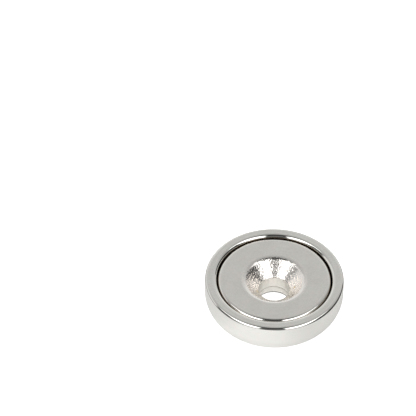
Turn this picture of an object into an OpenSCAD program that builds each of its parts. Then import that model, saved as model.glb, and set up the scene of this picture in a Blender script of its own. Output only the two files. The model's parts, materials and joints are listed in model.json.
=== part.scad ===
// Countersunk pot magnet: a plated steel cup holds a ring magnet just below its rim,
// and one countersunk screw passes down through both.
// It stands on the cup's back, with +Z out of the holding face. Sizes are in millimetres.

/* [Steel cup] */
// Outside diameter of the cup
cup_d = 25; // [20:0.5:40]
// Height of the cup, from its back to its rim
cup_h = 7.6; // [6.5:0.1:12]
// Thickness of the side wall
wall_t = 2.1; // [1.5:0.1:3]
// Thickness of the back, under the magnet
back_t = 2.4; // [1.8:0.1:3.2]
// Radius of the large rounded edge between the back and the side
back_edge_r = 4.4; // [0.5:0.1:5]
// Radius on the outer edge of the rim
rim_outer_r = 0.55; // [0.1:0.05:1]
// Radius on the inner edge of the rim
rim_inner_r = 0.65; // [0.1:0.05:1.2]

/* [Screw hole] */
// Diameter of the hole through the cup and the magnet
hole_d = 5.5; // [4:0.1:7]
// Radius that the punch leaves on the hole's edge at the back
hole_edge_r = 1.5; // [0.2:0.1:2]
// Diameter of the countersink in the magnet's face, measured to its sharp edge
countersink_d = 10.8; // [8.5:0.1:13]
// Full angle of the countersink
countersink_angle = 90; // [70:1:120]
// Radius that softens the countersink's mouth
mouth_r = 1.6; // [0.1:0.1:2.5]
// Radius that blends the countersink into the hole
throat_r = 0.25; // [0.1:0.05:2]

/* [Ring magnet] */
// Depth of the magnet's face below the rim
recess = 0.3; // [0:0.05:0.8]
// Width of the ring-shaped space between the magnet and the wall
side_gap = 0.15; // [0.05:0.05:1]
// Radius on the magnet's two outer edges
magnet_edge_r = 0.7; // [0.1:0.05:1.2]
// Radius on the edges of the hole where the magnet sits on the cup
seam_r = 0.1; // [0.05:0.05:0.4]

/* [Hidden] */
$fn = 180;

nickel_on_steel = [0.80, 0.79, 0.76];
nickel_on_magnet = [0.75, 0.74, 0.72];

cup_r = cup_d / 2;
hole_r = hole_d / 2;
countersink_r = countersink_d / 2;

// The pocket's inside corner is no rounder than the space beside the magnet, so the magnet sits flat
pocket_r = cup_r - wall_t;
pocket_corner_r = side_gap;
magnet_r = pocket_r - side_gap;

// Heights above the cup's back
face_z = cup_h - recess;
throat_z = face_z - (countersink_r - hole_r) / tan(countersink_angle / 2);

// An arc crosses the straights at its ends by this much, so that they never only touch
arc_overlap = 0.0002;
// A corner's cut, measured from the arc's centre, as a share of the corner's own distance
cut_past = 1.5;

// Each corner of a section is [radius from the axis, height, rounding], anticlockwise
cup_section = [
    [hole_r, 0, hole_edge_r],
    [cup_r, 0, back_edge_r],
    [cup_r, cup_h, rim_outer_r],
    [pocket_r, cup_h, rim_inner_r],
    [pocket_r, back_t, pocket_corner_r],
    [hole_r, back_t, seam_r],
];

magnet_section = [
    [hole_r, back_t, seam_r],
    [magnet_r, back_t, magnet_edge_r],
    [magnet_r, face_z, magnet_edge_r],
    [countersink_r, face_z, mouth_r],
    [hole_r, throat_z, throat_r],
];

function place(corner) = [corner[0], corner[1]];
function unit(v) = v / norm(v);
// The way from corner i to its neighbour: the last one for step -1, the next one for step 1
function neighbour(section, i, step) = section[(i + step + len(section)) % len(section)];
function way(section, i, step) = unit(place(neighbour(section, i, step)) - place(section[i]));
// An outside corner turns left on an anticlockwise walk, and an inside corner turns right
function is_outside(section, i) = cross(-way(section, i, -1), way(section, i, 1)) > 0;

// The arc that rounds corner i: where it leaves the straight on either side, and its centre
function half_angle(section, i) = acos(way(section, i, -1) * way(section, i, 1)) / 2;
function arc_end(section, i, step) =
    place(section[i]) + way(section, i, step) * section[i][2] / tan(half_angle(section, i));
function arc_centre(section, i) =
    place(section[i])
    + unit(way(section, i, -1) + way(section, i, 1)) * section[i][2] / sin(half_angle(section, i));

module arc_disc(section, i) {
    translate(arc_centre(section, i)) circle(section[i][2] + arc_overlap);
}

// What an outside corner loses: the point beyond its arc. The cut runs past the corner, clear of its sides
module corner_point(section, i) {
    centre = arc_centre(section, i);
    ring = [place(section[i]), arc_end(section, i, 1), centre, arc_end(section, i, -1)];
    difference() {
        polygon([for (point = ring) centre + (point - centre) * cut_past]);
        arc_disc(section, i);
    }
}

// A section with arcs at its corners. An inside corner is filled straight across, then hollowed by its disc
module rounded_section(section) {
    corners = [0 : len(section) - 1];
    difference() {
        polygon([
            for (i = corners)
                each is_outside(section, i)
                    ? [place(section[i])]
                    : [arc_end(section, i, -1), arc_end(section, i, 1)]
        ]);
        for (i = corners)
            if (is_outside(section, i)) corner_point(section, i);
            else arc_disc(section, i);
    }
}

// Pressed cup, open at the top, with the screw hole punched through its back
module steel_cup() {
    color(nickel_on_steel)
        rotate_extrude() rounded_section(cup_section);
}

// Ring magnet on the cup's floor, countersunk in its upper face
module ring_magnet() {
    color(nickel_on_magnet)
        rotate_extrude() rounded_section(magnet_section);
}

steel_cup();
ring_magnet();
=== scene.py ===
import json
import math

import bpy
from mathutils import Matrix, Vector, noise


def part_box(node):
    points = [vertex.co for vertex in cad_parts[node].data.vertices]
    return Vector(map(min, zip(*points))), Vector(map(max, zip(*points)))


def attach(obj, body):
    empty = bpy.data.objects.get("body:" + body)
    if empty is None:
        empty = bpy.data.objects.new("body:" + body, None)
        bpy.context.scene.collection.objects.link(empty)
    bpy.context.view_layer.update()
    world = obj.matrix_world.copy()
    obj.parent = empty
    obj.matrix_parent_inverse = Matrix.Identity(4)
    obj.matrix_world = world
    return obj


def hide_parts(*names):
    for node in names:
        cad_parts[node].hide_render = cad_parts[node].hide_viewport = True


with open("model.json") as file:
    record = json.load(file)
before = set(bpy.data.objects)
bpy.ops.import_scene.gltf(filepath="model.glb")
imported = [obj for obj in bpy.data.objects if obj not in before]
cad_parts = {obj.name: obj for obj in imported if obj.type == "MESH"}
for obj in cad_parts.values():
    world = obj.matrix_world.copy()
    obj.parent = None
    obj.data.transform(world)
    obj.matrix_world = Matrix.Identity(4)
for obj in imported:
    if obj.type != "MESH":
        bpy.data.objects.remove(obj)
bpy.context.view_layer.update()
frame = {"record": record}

scene = bpy.context.scene
scene.view_settings.view_transform = "Standard"
mm = 0.001
white = (1, 1, 1, 1)


# Camera: the picture's middle lies on the table behind the magnet, a little to its left
shot = {
    "aim": (-12.13 * mm, 24.50 * mm, 0),
    "distance": 0.875,
    "tilt": 45.99,  # degrees above the table
    "roll": 0.97,
    "lens": 411.4,
    "sensor": 36,
    "clip": (0.01, 20),
}


def placeCamera():
    tilt = math.radians(shot["tilt"])
    back = Vector((0, -math.cos(tilt), math.sin(tilt)))
    roll = Matrix.Rotation(math.radians(shot["roll"]), 3, "Z")
    camera = bpy.data.objects.new("camera", bpy.data.cameras.new("camera"))
    camera.data.lens = shot["lens"]
    camera.data.sensor_width = shot["sensor"]
    camera.data.clip_start, camera.data.clip_end = shot["clip"]
    camera.matrix_world = (back.to_track_quat("Z", "Y").to_matrix() @ roll).to_4x4()
    camera.location = Vector(shot["aim"]) + back * shot["distance"]
    scene.collection.objects.link(camera)
    scene.camera = camera


placeCamera()
print("camera placed")


# Small helpers for node trees
def addNode(tree, kind, inputs=None, **settings):
    node = tree.nodes.new("ShaderNode" + kind)
    for name, value in settings.items():
        setattr(node, name, value)
    for name, value in (inputs or {}).items():
        feed(tree, node.inputs[name], value)
    return node


def feed(tree, socket, value):
    if isinstance(value, bpy.types.NodeSocket):
        tree.links.new(value, socket)
    else:
        socket.default_value = value


def calc(tree, operation, *values):
    node = addNode(tree, "Math", operation=operation)
    for socket, value in zip(node.inputs, values):
        feed(tree, socket, value)
    return node.outputs[0]


def vectorCalc(tree, operation, *values):
    node = addNode(tree, "VectorMath", operation=operation)
    for socket, value in zip(node.inputs, values):
        feed(tree, socket, value)
    return node.outputs["Value" if operation in ("DOT_PRODUCT", "LENGTH", "DISTANCE") else "Vector"]


def scaleVector(tree, vector, factor):
    node = addNode(tree, "VectorMath", operation="SCALE")
    feed(tree, node.inputs[0], vector)
    feed(tree, node.inputs["Scale"], factor)
    return node.outputs["Vector"]


def ramp(tree, value, low, high, toLow=0.0, toHigh=1.0, curve="SMOOTHSTEP"):
    return addNode(tree, "MapRange", {
        "Value": value, "From Min": low, "From Max": high, "To Min": toLow, "To Max": toHigh,
    }, interpolation_type=curve).outputs["Result"]


def fade(tree, value, edge):
    # edge is where the value starts to rise, where it is full, and what is left before that
    start, end, least = edge
    return ramp(tree, value, start, end, least, 1.0)


# A mix node keeps separate sockets for each kind of data, so these go by their numbers
def mixColour(tree, share, first, second):
    node = addNode(tree, "Mix", data_type="RGBA")
    feed(tree, node.inputs[0], share)
    feed(tree, node.inputs[6], first)
    feed(tree, node.inputs[7], second)
    return node.outputs[2]


def mixValue(tree, share, first, second):
    node = addNode(tree, "Mix", data_type="FLOAT")
    feed(tree, node.inputs[0], share)
    feed(tree, node.inputs[2], first)
    feed(tree, node.inputs[3], second)
    return node.outputs[0]


def noiseValue(tree, vector, scale, detail, roughness):
    return addNode(tree, "TexNoise", {
        "Vector": vector, "Scale": scale, "Detail": detail, "Roughness": roughness,
    }).outputs["Fac"]


def newGroup(name, inputs, outputs):
    group = bpy.data.node_groups.new(name, "ShaderNodeTree")
    for label, kind, value in inputs:
        socket = group.interface.new_socket(label, in_out="INPUT", socket_type="NodeSocket" + kind)
        if value is not None:
            socket.default_value = value
    for label, kind in outputs:
        group.interface.new_socket(label, in_out="OUTPUT", socket_type="NodeSocket" + kind)
    entry = group.nodes.new("NodeGroupInput")
    leave = group.nodes.new("NodeGroupOutput")
    return group, entry.outputs, leave.inputs


def useGroup(tree, group, inputs):
    node = tree.nodes.new("ShaderNodeGroup")
    node.node_tree = group
    for name, value in inputs.items():
        feed(tree, node.inputs[name], value)
    return node.outputs


# Studio: a bright table and a grey room with softboxes and dark cards, all seen only in reflections
studio = {
    "tableSize": 6.0,
    "tableDrop": 0.02 * mm,  # keeps the table's face clear of the cup's back
    "tablePaint": 0.7,
    "tableGlow": 0.48,
    # where the table's glow fades on either side of the magnet, and what is left of it
    "glowLeft": (-17 * mm, -10 * mm, 0.60),
    "glowRight": (13 * mm, -2 * mm, 0.60),
    # the table darkens further out, where only the rim sees it
    "farRight": (46 * mm, 28 * mm, 0.1),
    "farLeft": (-46 * mm, -28 * mm, 0.25),
    "contactShade": (9 * mm, 17 * mm, 0.85),  # less light right beside the magnet
    # painted shade: the table's glow goes to nothing under the cup
    "underCup": (8 * mm, 10 * mm, 0.0),
    "holeGlow": (2.8 * mm, 2.2 * mm, 1.95),  # light that comes up through the screw hole
    "holeBack": (1.5 * mm, -2 * mm, 0.4),  # less of it at the back of the hole
    "shownWhite": 1.2,  # what the camera itself sees of the table and the room
    "frontGrey": 0.06,
    "sideGrey": 0.413,
    "backGrey": 0.70,
    "turn": (-0.1, 0.2),  # where the room goes from its dark front to its paler sides, along Y
    "footRise": (0.2, 0.5),  # height over which a softbox brightens from its foot, as a share of straight up
    # corners are azimuth from the camera's side, right positive, and elevation, in degrees;
    # a later card hides the ones before it
    "cards": {
        "leftScreen": {
            "corners": [(-150, -3), (-88, -3), (-93, 26), (-102, 36), (-134, 36)],
            "edge": 0.07,
            "glow": 0.75,
        },
        "backScreen": {
            "corners": [(148, -3), (222, -3), (214, 26), (152, 26)],
            "edge": 0.09,
            "glow": 0.8,
        },
        "frontScreen": {
            "corners": [(-20, 25), (20, 25), (20, 34), (-20, 34)],
            "edge": 0.05,
            "glow": 0.33,
        },
        "leftWing": {
            "corners": [(-66, 42), (-98, 40), (-104, 52), (-66, 64)],
            "edge": 0.05,
            "glow": 1.4,
        },
        "rightWing": {
            "corners": [(66, 42), (98, 40), (104, 52), (66, 64)],
            "edge": 0.05,
            "glow": 1.55,
        },
        "leftSoftbox": {
            "corners": [(-20, -3), (-40, -3), (-76, 42), (-66, 62), (-25, 59)],
            "edge": 0.05,
            "glow": 2.2,
            "foot": 0.75,
        },
        "rightSoftbox": {
            "corners": [(16, -3), (40, -3), (76, 42), (66, 62), (21, 59)],
            "edge": 0.05,
            "glow": 2.2,
            "foot": 0.75,
        },
        "leftFlag": {
            "corners": [(-80, -3), (-42, -3), (-48, 16), (-58, 29), (-75, 36), (-86, 32)],
            "edge": 0.05,
            "glow": 0.13,
        },
        "rightFlag": {
            "corners": [(42, -3), (130, -3), (130, 18), (109, 31), (86, 37), (60, 30), (49, 18)],
            "edge": 0.04,
            "glow": 0.05,
        },
    },
}


def cardEdgeGroup():
    group, given, result = newGroup("cardEdge", [
        ("Direction", "Vector", None),
        ("Inward", "Vector", None),
        ("Softness", "Float", 0.05),
        ("Mask", "Float", 1.0),
    ], [("Mask", "Float")])
    depth = vectorCalc(group, "DOT_PRODUCT", given["Direction"], given["Inward"])
    soft = given["Softness"]
    inside = ramp(group, depth, calc(group, "MULTIPLY", soft, -1.0), soft)
    feed(group, result["Mask"], calc(group, "MULTIPLY", given["Mask"], inside))
    return group


def lookAt(azimuth, elevation):
    azimuth, elevation = math.radians(azimuth), math.radians(elevation)
    level = math.cos(elevation)
    return Vector((math.sin(azimuth) * level, -math.cos(azimuth) * level, math.sin(elevation)))


def cardMask(tree, cardEdge, direction, card):
    # each side of the card lies on the plane through two neighbouring rays
    rays = [lookAt(*corner) for corner in card["corners"]]
    middle = sum(rays, Vector())
    mask = 1.0
    for ray, nextRay in zip(rays, rays[1:] + rays[:1]):
        inward = ray.cross(nextRay).normalized()
        if inward.dot(middle) < 0:
            inward = -inward
        mask = useGroup(tree, cardEdge, {
            "Direction": direction, "Inward": inward, "Softness": card["edge"], "Mask": mask,
        })["Mask"]
    return mask


def buildStudio():
    world = bpy.data.worlds.new("studio")
    world.use_nodes = True
    tree = world.node_tree
    tree.nodes.clear()
    direction = addNode(tree, "TexCoord").outputs["Generated"]
    depth, height = addNode(tree, "SeparateXYZ", {"Vector": direction}).outputs[1:]
    front, side, back = studio["frontGrey"], studio["sideGrey"], studio["backGrey"]
    turnStart, turnEnd = studio["turn"]
    glow = ramp(tree, depth, turnStart, turnEnd, front, side)
    glow = calc(tree, "ADD", glow, ramp(tree, depth, turnEnd, 1.0, 0.0, back - side))
    cardEdge = cardEdgeGroup()
    for card in studio["cards"].values():
        level = card["glow"]
        if "foot" in card:
            level = ramp(tree, height, *studio["footRise"], card["foot"], level)
        glow = mixValue(tree, cardMask(tree, cardEdge, direction, card), glow, level)
    seen = addNode(tree, "LightPath").outputs["Is Camera Ray"]
    shown = mixValue(tree, seen, glow, studio["shownWhite"])
    background = addNode(tree, "Background", {"Color": white, "Strength": shown})
    addNode(tree, "OutputWorld", {"Surface": background.outputs[0]})
    scene.world = world


def buildTable():
    half = studio["tableSize"] / 2
    corners = [(-half, -half, 0), (half, -half, 0), (half, half, 0), (-half, half, 0)]
    mesh = bpy.data.meshes.new("table")
    mesh.from_pydata(corners, [], [(0, 1, 2, 3)])
    table = bpy.data.objects.new("table", mesh)
    table.location.z = -studio["tableDrop"]
    paint = bpy.data.materials.new("tableWhite")
    paint.use_nodes = True
    tree = paint.node_tree
    shader = tree.nodes["Principled BSDF"]
    place = addNode(tree, "TexCoord").outputs["Object"]
    fromAxis = vectorCalc(tree, "LENGTH", place)
    across, along = addNode(tree, "SeparateXYZ", {"Vector": place}).outputs[:2]
    contact = fade(tree, fromAxis, studio["contactShade"])
    for edge in ("farRight", "farLeft"):
        contact = calc(tree, "MULTIPLY", contact, fade(tree, across, studio[edge]))
    feed(tree, shader.inputs["Base Color"], calc(tree, "MULTIPLY", contact, studio["tablePaint"]))
    shader.inputs["Roughness"].default_value = 1
    shader.inputs["Specular IOR Level"].default_value = 0
    shader.inputs["Emission Color"].default_value = white
    glow = calc(tree, "MULTIPLY", contact, studio["tableGlow"])
    for value, edge in ((across, "glowLeft"), (across, "glowRight"), (fromAxis, "underCup")):
        glow = calc(tree, "MULTIPLY", glow, fade(tree, value, studio[edge]))
    start, end, inHole = studio["holeGlow"]
    inHole = calc(tree, "MULTIPLY", fade(tree, along, studio["holeBack"]), inHole)
    glow = mixValue(tree, ramp(tree, fromAxis, start, end), glow, inHole)
    seen = addNode(tree, "LightPath").outputs["Is Camera Ray"]
    feed(tree, shader.inputs["Emission Strength"], mixValue(tree, seen, glow, studio["shownWhite"]))
    mesh.materials.append(paint)
    scene.collection.objects.link(table)


buildStudio()
buildTable()
print("studio built")


# Finishes along an outline: roughness, orange peel, satin grain, grime with painted gap shade, and drawing
# lines, each from 0 to 1
finishLabels = ("rough", "peel", "grain", "grimeAndGapShade", "drawn")
finishes = {
    "satin": (0.30, 0.0, 1.0, 0.0, 0.0),
    "bright": (0.12, 0.25, 0.2, 0.0, 0.6),
    "side": (0.18, 0.25, 0.3, 0.0, 1.0),
    "edge": (0.05, 0.1, 0.1, 0.0, 0.0),
    "mouth": (0.08, 0.4, 0.15, 0.0, 0.0),
    "cone": (0.23, 1.0, 0.0, 0.0, 0.0),
    "throat": (0.30, 0.4, 0.3, 0.0, 0.0),
    "bore": (0.60, 0.2, 0.6, 0.0, 0.0),
    "cupBore": (0.60, 0.2, 0.6, 0.04, 0.0),
    "punched": (0.25, 0.2, 0.3, 0.09, 0.0),
    "seam": (0.60, 0.2, 0.6, 0.2, 0.0),
    # these two darken the gap between cup and magnet to brown and black: painted shade, with some brown
    # grime
    "stainedAndShaded": (0.16, 0.3, 0.2, 0.6, 1.0),
    "pocket": (0.16, 0.3, 0.2, 1.0, 1.0),
}

# Turned pieces: a closed outline of radius and height, swept round the axis
lathe = {
    "turns": 360,
    "pitch": 0.25 * mm,  # spacing of the rings on straights
    "finePitch": 0.07 * mm,  # the same where the plating is hammered
    "leastRows": 2,
    "arcPitch": 0.06 * mm,
    "arcSteps": (6, 60),  # fewest and most steps along one arc
    "support": 0.03 * mm,  # narrow ring that keeps a straight flat beside an arc
    "supportShare": 0.25,  # most that it takes of a short straight
    "waver": 0.004 * mm,  # how far the plated skin wanders from the true shape
    "waverLength": 1.6 * mm,
    "hammer": 0.042 * mm,  # depth of the small dents in a hammered skin
    "hammerLength": 0.36 * mm,
    "gapShadeFrom": 0.74,  # share of an arc into the pocket where its painted gap shade and grime start
    "mouthEase": 0.2,  # share of the countersink's mouth where the face's finish is gone
}


def blend(first, second, share):
    share = min(max(share, 0), 1)
    return [a + (b - a) * share for a, b in zip(first, second)]


def arcFinish(before, arc, after, share):
    if arc == "mouth":
        # the face runs into the countersink without a line
        ease = lathe["mouthEase"]
        intoMouth = blend(finishes[before], finishes[arc], share / ease)
        return blend(intoMouth, finishes[after], (share - ease) / (1 - ease))
    # the end of an arc into the pocket takes the gap's painted shade, with some grime
    if after == "pocket" and share > lathe["gapShadeFrom"]:
        return finishes["stainedAndShaded"]
    return finishes[arc]


def roundedOutline(corners):
    # a corner is radius, height, rounding, finish of its arc and of the straight after it; anticlockwise
    points = []
    count = len(corners)
    ends = []
    for i, corner in enumerate(corners):
        here = Vector(corner[:2])
        rounding = corner[2]
        toLast = (Vector(corners[i - 1][:2]) - here).normalized()
        toNext = (Vector(corners[(i + 1) % count][:2]) - here).normalized()
        half = toLast.angle(toNext) / 2
        reach = rounding / math.tan(half)
        centre = here + (toLast + toNext).normalized() * rounding / math.sin(half)
        ends.append((here + toLast * reach, here + toNext * reach, centre, math.pi - 2 * half))
    fewest, most = lathe["arcSteps"]
    for i, corner in enumerate(corners):
        rounding, arc, after = corner[2:]
        before = corners[i - 1][4]
        start, end, centre, sweep = ends[i]
        steps = min(most, max(fewest, round(sweep * rounding / lathe["arcPitch"])))
        first, last = start - centre, end - centre
        for k in range(steps + 1):
            share = k / steps
            weightFirst = math.sin((1 - share) * sweep) / math.sin(sweep)
            weightLast = math.sin(share * sweep) / math.sin(sweep)
            place = centre + first * weightFirst + last * weightLast
            points.append((place, arcFinish(before, arc, after, share)))
        nextStart = ends[(i + 1) % count][0]
        run = nextStart - end
        support = min(lathe["support"], run.length * lathe["supportShare"])
        pitch = lathe["finePitch" if after == "cone" else "pitch"]
        rows = max(lathe["leastRows"], round(run.length / pitch))
        marks = [support] + [run.length * k / rows for k in range(1, rows)] + [run.length - support]
        for mark in sorted(marks):
            points.append((end + run * mark / run.length, finishes[after]))
    return points


def sweepOutline(points):
    # the skin wavers and is dented only inwards, so the piece stays inside its true shape
    rings = len(points)
    vertices = []
    for t in range(lathe["turns"]):
        angle = 2 * math.pi * t / lathe["turns"]
        side = Vector((math.cos(angle), math.sin(angle)))
        for i, (point, finish) in enumerate(points):
            run = (points[(i + 1) % rings][0] - points[i - 1][0]).normalized()
            spot = Vector((side.x * point.x, side.y * point.x, point.y))
            dents = finish[finishLabels.index("peel")] ** 2
            push = lathe["waver"] * min(noise.noise(spot / lathe["waverLength"]), 0)
            push += lathe["hammer"] * dents * min(noise.noise(spot / lathe["hammerLength"]), 0)
            point = point + Vector((run.y, -run.x)) * push
            vertices.append((side.x * point.x, side.y * point.x, point.y))
    return vertices


def turnedPiece(name, corners):
    points = roundedOutline(corners)
    rings = len(points)
    turns = lathe["turns"]
    lengths = [0.0]
    for i in range(rings):
        lengths.append(lengths[-1] + (points[(i + 1) % rings][0] - points[i][0]).length)
    faces, flat = [], []
    for t in range(turns):
        for i in range(rings):
            j, u = (i + 1) % rings, (t + 1) % turns
            faces.append((t * rings + i, u * rings + i, u * rings + j, t * rings + j))
            left, right = t / turns, (t + 1) / turns
            low, high = lengths[i] / lengths[-1], lengths[i + 1] / lengths[-1]
            flat += [left, low, right, low, right, high, left, high]
    mesh = bpy.data.meshes.new(name)
    mesh.from_pydata(sweepOutline(points), [], faces)
    mesh.polygons.foreach_set("use_smooth", [True] * len(faces))
    for k, label in enumerate(finishLabels):
        values = [finish[k] for point, finish in points] * turns
        mesh.attributes.new(label, "FLOAT", "POINT").data.foreach_set("value", values)
    mesh.uv_layers.new(name="OFBake").data.foreach_set("uv", flat)
    mesh.update()
    piece = bpy.data.objects.new(name, mesh)
    scene.collection.objects.link(piece)
    return piece


# Effects that both platings share, with positions, cells and depths in millimetres
skin = {
    "peelDetail": 2.0,
    "peelBite": 0.5,
    "grainScale": 3.2,
    "cloudScale": 0.35,
    "tintScale": 0.9,
    "grainDetail": 3.0,
    "grainBite": 0.55,
    "speckRange": (0.3, 0.7),
    "cloudRange": (0.3, 0.7),
    "tintRange": (0.35, 0.65),
    "drawnScale": (0.12, 0.12, 5.0),  # long streaks round the wall, short along its height
    "drawnDetail": 3.0,
    "drawnBite": 0.6,
    "speckDull": 0.6,  # shares of the fine specks and of the soft clouds in the satin's shade
    "cloudDull": 0.4,
    "stain": 0.8,
    "gapShadowFrom": 0.6,  # share of grime and painted gap shade where its brown starts to turn to painted black shade
}


def peelGroup():
    group, given, result = newGroup("platingPeel", [
        ("Position", "Vector", None), ("Cell", "Float", 0.25), ("Depth", "Float", 0.01),
    ], [("Height", "Float")])
    place = scaleVector(group, given["Position"], calc(group, "DIVIDE", 1.0, given["Cell"]))
    bumps = noiseValue(group, place, 1.0, skin["peelDetail"], skin["peelBite"])
    feed(group, result["Height"], calc(group, "MULTIPLY", bumps, given["Depth"]))
    return group


def grainGroup():
    group, given, result = newGroup("satinGrain", [
        ("Position", "Vector", None), ("Depth", "Float", 0.002),
    ], [("Height", "Float"), ("Speck", "Float"), ("Cloud", "Float"), ("Tint", "Float")])
    fine, cloud, tint = (
        noiseValue(group, given["Position"], skin[scale], skin["grainDetail"], skin["grainBite"])
        for scale in ("grainScale", "cloudScale", "tintScale")
    )
    feed(group, result["Height"], calc(group, "MULTIPLY", fine, given["Depth"]))
    feed(group, result["Speck"], ramp(group, fine, *skin["speckRange"]))
    feed(group, result["Cloud"], ramp(group, cloud, *skin["cloudRange"]))
    feed(group, result["Tint"], ramp(group, tint, *skin["tintRange"]))
    return group


def drawnGroup():
    group, given, result = newGroup("drawnLines", [
        ("Position", "Vector", None), ("Depth", "Float", 0.002),
    ], [("Height", "Float")])
    around = addNode(group, "Mapping", {"Vector": given["Position"], "Scale": skin["drawnScale"]}).outputs[0]
    lines = noiseValue(group, around, 1.0, skin["drawnDetail"], skin["drawnBite"])
    feed(group, result["Height"], calc(group, "MULTIPLY", lines, given["Depth"]))
    return group


platingPeel = peelGroup()
satinGrain = grainGroup()
drawnLines = drawnGroup()


def platingMaterial(name, plating):
    material = bpy.data.materials.new(name)
    material.use_nodes = True
    tree = material.node_tree
    shader = tree.nodes["Principled BSDF"]
    shader.inputs["Metallic"].default_value = 1.0
    position = scaleVector(tree, addNode(tree, "TexCoord").outputs["Object"], 1 / mm)
    rough, peel, grainy, grimeAndGapShade, drawn = (
        addNode(tree, "Attribute", attribute_name=label).outputs["Fac"] for label in finishLabels
    )
    bumps = useGroup(tree, platingPeel, {
        "Position": position, "Cell": plating["peelCell"], "Depth": plating["peelDepth"],
    })["Height"]
    grain = useGroup(tree, satinGrain, {"Position": position, "Depth": plating["grainDepth"]})
    lines = useGroup(tree, drawnLines, {"Position": position, "Depth": plating["drawnDepth"]})["Height"]
    height = calc(tree, "MULTIPLY", bumps, peel)
    height = calc(tree, "MULTIPLY_ADD", grain["Height"], grainy, height)
    height = calc(tree, "MULTIPLY_ADD", lines, drawn, height)
    bump = addNode(tree, "Bump", {"Strength": 1.0, "Distance": mm, "Height": height})
    colour = mixColour(tree, grain["Tint"], plating["colour"], plating["tint"])
    clouds = calc(tree, "MULTIPLY", grain["Cloud"], skin["cloudDull"])
    dull = calc(tree, "MULTIPLY_ADD", grain["Speck"], skin["speckDull"], clouds)
    colour = mixColour(tree, calc(tree, "MULTIPLY", dull, grainy), colour, plating["shade"])
    colour = mixColour(tree, peel, colour, plating["hammered"])
    for *spot, reach in plating.get("stains", []):
        away = vectorCalc(tree, "DISTANCE", position, spot)
        colour = mixColour(tree, ramp(tree, away, reach, 0.0, 0.0, skin["stain"]), colour, plating["stain"])
    along = addNode(tree, "SeparateXYZ", {"Vector": position}).outputs["Y"]
    # painted shade with some grime in the gap between cup and magnet: brown, then black deep in it, less of
    # it at the front
    gapShading = calc(tree, "MULTIPLY", grimeAndGapShade, fade(tree, along, plating["gapShadeFront"]))
    brown = ramp(tree, gapShading, 0.0, skin["gapShadowFrom"], curve="LINEAR")
    black = ramp(tree, gapShading, skin["gapShadowFrom"], 1.0, curve="LINEAR")
    colour = mixColour(tree, brown, colour, plating["grimeAndGapShade"])
    colour = mixColour(tree, black, colour, plating["gapShadowBlack"])
    feed(tree, shader.inputs["Base Color"], colour)
    feed(tree, shader.inputs["Roughness"], rough)
    feed(tree, shader.inputs["Normal"], bump.outputs["Normal"])
    return material


# The solids give the cup's and the magnet's own sizes
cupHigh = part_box("steel_cup")[1]
magnetLow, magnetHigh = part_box("ring_magnet")
holeRadius = frame["record"]["mounts"][0]["dims"]["r_mm"] * mm

# Pressed steel cup, open at the top
cup = {
    "radius": cupHigh.x,
    "height": cupHigh.z,
    "floor": magnetLow.z,
    "wall": 2.1 * mm,
    "backRound": 4.4 * mm,
    "rimOuterRound": 0.55 * mm,
    "rimInnerRound": 0.65 * mm,
    "pocketRound": 0.15 * mm,
    "holeRound": 1.5 * mm,
    "seamRound": 0.1 * mm,
}
cupPlating = {
    "colour": (0.90, 0.87, 0.83, 1),
    "tint": (0.865, 0.875, 0.83, 1),  # the other tone of a faint mottling
    "shade": (0.80, 0.785, 0.735, 1),
    "hammered": (0.88, 0.87, 0.83, 1),
    # brown of grime and painted gap shade, then painted black shade deep in the gap
    "grimeAndGapShade": (0.24, 0.19, 0.145, 1),
    "gapShadowBlack": (0.02, 0.016, 0.012, 1),
    "gapShadeFront": (-8.8, -6.4, 0.15),  # less painted gap shade and grime at the front, in millimetres along Y
    "peelCell": 0.3,
    "peelDepth": 0.012,
    "grainDepth": 0.02,
    "drawnDepth": 0.004,
}


def buildCup():
    pocket = cup["radius"] - cup["wall"]
    return turnedPiece("steelCup", [
        (holeRadius, 0, cup["holeRound"], "punched", "satin"),
        (cup["radius"], 0, cup["backRound"], "bright", "side"),
        (cup["radius"], cup["height"], cup["rimOuterRound"], "edge", "satin"),
        (pocket, cup["height"], cup["rimInnerRound"], "edge", "pocket"),
        (pocket, cup["floor"], cup["pocketRound"], "pocket", "pocket"),
        (holeRadius, cup["floor"], cup["seamRound"], "seam", "cupBore"),
    ])


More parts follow.
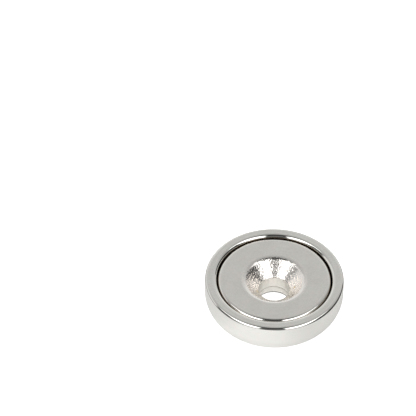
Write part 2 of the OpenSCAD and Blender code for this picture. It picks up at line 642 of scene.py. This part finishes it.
steelCup = buildCup()
steelCup.data.materials.append(platingMaterial("nickelOnSteel", cupPlating))
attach(steelCup, "root")
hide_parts("steel_cup")
print("steel cup turned,", len(steelCup.data.polygons), "faces")


# Ring magnet on the cup's floor, countersunk in its face
magnet = {
    "radius": magnetHigh.x,
    "face": magnetHigh.z,
    "floor": magnetLow.z,
    "edgeRound": 0.7 * mm,
    "mouth": 5.4 * mm,  # countersink's radius at its sharp edge
    "mouthRound": 1.6 * mm,
    "throatRound": 0.25 * mm,
    "seamRound": 0.1 * mm,
}
magnetPlating = {
    "colour": (0.90, 0.865, 0.825, 1),
    "tint": (0.865, 0.872, 0.825, 1),
    "shade": (0.80, 0.78, 0.73, 1),
    "hammered": (0.97, 0.93, 0.885, 1),
    # brown of grime and painted gap shade, then painted black shade deep in the gap
    "grimeAndGapShade": (0.12, 0.08, 0.05, 1),
    "gapShadowBlack": (0.02, 0.016, 0.012, 1),
    "gapShadeFront": (-8.8, -6.4, 0.15),
    "stain": (0.78, 0.60, 0.32, 1),
    # places of the small brown stains in the countersink, and how far each reaches, in millimetres
    "stains": [(3.66, -0.3, 5.57, 0.4), (-3.03, -0.95, 5.09, 0.45), (2.62, -2.65, 5.62, 0.35)],
    "peelCell": 0.3,
    "peelDepth": 0.06,
    "grainDepth": 0.015,
    "drawnDepth": 0.004,
}


def buildMagnet():
    throat = magnet["face"] - (magnet["mouth"] - holeRadius)  # a countersink of 90 degrees
    return turnedPiece("ringMagnet", [
        (holeRadius, magnet["floor"], magnet["seamRound"], "seam", "pocket"),
        (magnet["radius"], magnet["floor"], magnet["edgeRound"], "pocket", "pocket"),
        (magnet["radius"], magnet["face"], magnet["edgeRound"], "edge", "satin"),
        (magnet["mouth"], magnet["face"], magnet["mouthRound"], "mouth", "cone"),
        (holeRadius, throat, magnet["throatRound"], "throat", "bore"),
    ])


ringMagnet = buildMagnet()
ringMagnet.data.materials.append(platingMaterial("nickelOnMagnet", magnetPlating))
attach(ringMagnet, "root")
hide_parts("ring_magnet")
print("ring magnet turned,", len(ringMagnet.data.polygons), "faces")
